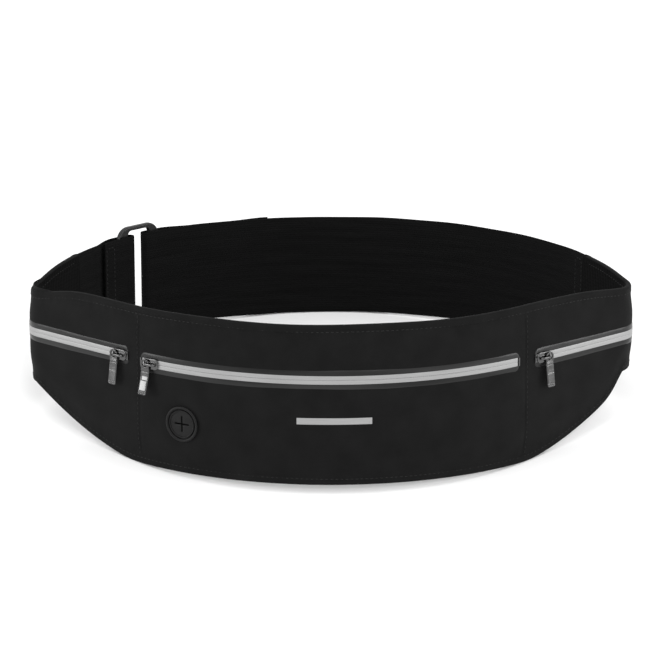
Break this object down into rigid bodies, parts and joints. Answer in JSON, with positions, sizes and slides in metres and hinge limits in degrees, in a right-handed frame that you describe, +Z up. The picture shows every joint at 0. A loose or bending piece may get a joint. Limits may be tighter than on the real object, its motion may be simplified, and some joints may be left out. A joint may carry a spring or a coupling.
{
  "type": "waist pack",
  "caption": "Slim black running belt with zipped stretch pockets across the front, a rubber earphone port and an adjustable elastic strap closed into a waist loop.",
  "frame": {"origin": "on the surface it stands on, below the middle of the waist loop", "axes": "+Z up, +X to the right across the front seen from the front, -Y out of the front pockets"},
  "size_m": [0.3788, 0.2835, 0.1054],
  "materials": {
    "shell_fabric": "matt black stretch knit",
    "lining_fabric": "matt black spacer mesh",
    "pocket_fabric": "thin matt black lining",
    "zip_tape": "glossy laminated film",
    "reflective_film": "silver reflective film",
    "zip_coil": "black nylon coil",
    "slider_metal": "black nickel plate",
    "pull_metal": "brushed gunmetal",
    "port_rubber": "satin black rubber",
    "elastic_band": "ribbed black elastic",
    "hook_and_loop": "black hook and loop tape",
    "loop_plastic": "satin black moulding",
    "thread": "black polyester thread"
  },
  "bodies": {
    "pack": {"back_lining": "lining_fabric", "bottom_hem": "shell_fabric", "bottom_stitching": "thread", "left_divider_seam": "lining_fabric", "left_divider_stitching": "thread", "left_end_seam": "shell_fabric", "left_front_panel": "shell_fabric", "left_pocket_liner": "pocket_fabric", "left_tab": "elastic_band", "left_zip_coils": "zip_coil", "left_zip_lower_tape": "zip_tape", "left_zip_silver": "reflective_film", "left_zip_stops": "slider_metal", "left_zip_upper_tape": "zip_tape", "loop_tape": "hook_and_loop", "main_front_panel": "shell_fabric", "main_pocket_liner": "pocket_fabric", "main_zip_coils": "zip_coil", "main_zip_lower_tape": "zip_tape", "main_zip_silver": "reflective_film", "main_zip_stops": "slider_metal", "main_zip_upper_tape": "zip_tape", "port_backing": "port_rubber", "port_ring": "port_rubber", "reflective_bar": "reflective_film", "right_divider_seam": "lining_fabric", "right_divider_stitching": "thread", "right_end_seam": "shell_fabric", "right_front_panel": "shell_fabric", "right_pocket_liner": "pocket_fabric", "right_zip_coils": "zip_coil", "right_zip_lower_tape": "zip_tape", "right_zip_silver": "reflective_film", "right_zip_stops": "slider_metal", "right_zip_upper_tape": "zip_tape", "strap": "elastic_band", "strap_end_stitching": "thread", "tab_stitching": "thread", "top_hem": "shell_fabric", "top_stitching": "thread"},
    "main_slider": {"main_slider": "slider_metal"},
    "main_pull": {"main_pull": "pull_metal"},
    "left_slider": {"left_slider": "slider_metal"},
    "left_pull": {"left_pull": "pull_metal"},
    "right_slider": {"right_slider": "slider_metal"},
    "right_pull": {"right_pull": "pull_metal"},
    "webbing_loop": {"webbing_loop": "loop_plastic"},
    "tail": {"strap_tail": "elastic_band", "hook_patch": "hook_and_loop", "hook_stitching": "thread"},
    "port_flap_1": {"port_flap_1": "port_rubber"},
    "port_flap_2": {"port_flap_2": "port_rubber"},
    "port_flap_3": {"port_flap_3": "port_rubber"},
    "port_flap_4": {"port_flap_4": "port_rubber"}
  },
  "joints": [
    {"name": "main_slider_travel", "type": "hinge", "parent": "pack", "child": "main_slider", "pos_m": [0, 0.05106, 0.04483], "axis": [0, 0.1486, 0.9889], "range_deg": [0, 71.9]},
    {"name": "left_slider_travel", "type": "slide", "parent": "pack", "child": "left_slider", "axis": [-0.7604, 0.6422, -0.0965], "range_m": [0, 0.0654]},
    {"name": "right_slider_travel", "type": "slide", "parent": "pack", "child": "right_slider", "axis": [0.7604, 0.6422, -0.0965], "range_m": [0, 0.0642]},
    {"name": "main_pull_swing", "type": "hinge", "parent": "main_slider", "child": "main_pull", "pos_m": [-0.11262, -0.09686, 0.06705], "axis": [-0.586, -0.8013, 0.1204], "range_deg": [-70, 50]},
    {"name": "left_pull_swing", "type": "hinge", "parent": "left_slider", "child": "left_pull", "pos_m": [-0.13258, -0.08023, 0.06587], "axis": [-0.6494, -0.752, 0.113], "range_deg": [-70, 50]},
    {"name": "right_pull_swing", "type": "hinge", "parent": "right_slider", "child": "right_pull", "pos_m": [0.13349, -0.07975, 0.06377], "axis": [0.6494, -0.752, 0.113], "range_deg": [-50, 70]},
    {"name": "webbing_loop_play", "type": "slide", "parent": "pack", "child": "webbing_loop", "axis": [-0.7252, -0.6809, 0.1023], "range_m": [-0.0025, 0.0025]},
    {"name": "tail_peel", "type": "hinge", "parent": "pack", "child": "tail", "pos_m": [-0.02355, 0.13564, 0.03263], "axis": [0, 0.1486, 0.9889], "range_deg": [0, 110]},
    {"name": "port_flap_1_lift", "type": "hinge", "parent": "pack", "child": "port_flap_1", "pos_m": [-0.08685, -0.11501, 0.03843], "axis": [-0.6179, 0.4451, 0.6482], "range_deg": [0, 40], "stiffness_Nm_per_rad": 0.002},
    {"name": "port_flap_2_lift", "type": "hinge", "parent": "pack", "child": "port_flap_2", "pos_m": [-0.09296, -0.11164, 0.03792], "axis": [-0.6179, 0.235, -0.7503], "range_deg": [0, 40], "stiffness_Nm_per_rad": 0.002},
    {"name": "port_flap_3_lift", "type": "hinge", "parent": "pack", "child": "port_flap_3", "pos_m": [-0.09296, -0.11268, 0.031], "axis": [0.6179, -0.4451, -0.6482], "range_deg": [0, 40], "stiffness_Nm_per_rad": 0.002},
    {"name": "port_flap_4_lift", "type": "hinge", "parent": "pack", "child": "port_flap_4", "pos_m": [-0.08685, -0.11605, 0.03151], "axis": [0.6179, -0.235, 0.7503], "range_deg": [0, 40], "stiffness_Nm_per_rad": 0.002}
  ],
  "couplings": [
    {"joint": "port_flap_2_lift", "follows": "port_flap_1_lift", "ratio": 1},
    {"joint": "port_flap_3_lift", "follows": "port_flap_1_lift", "ratio": 1},
    {"joint": "port_flap_4_lift", "follows": "port_flap_1_lift", "ratio": 1}
  ]
}
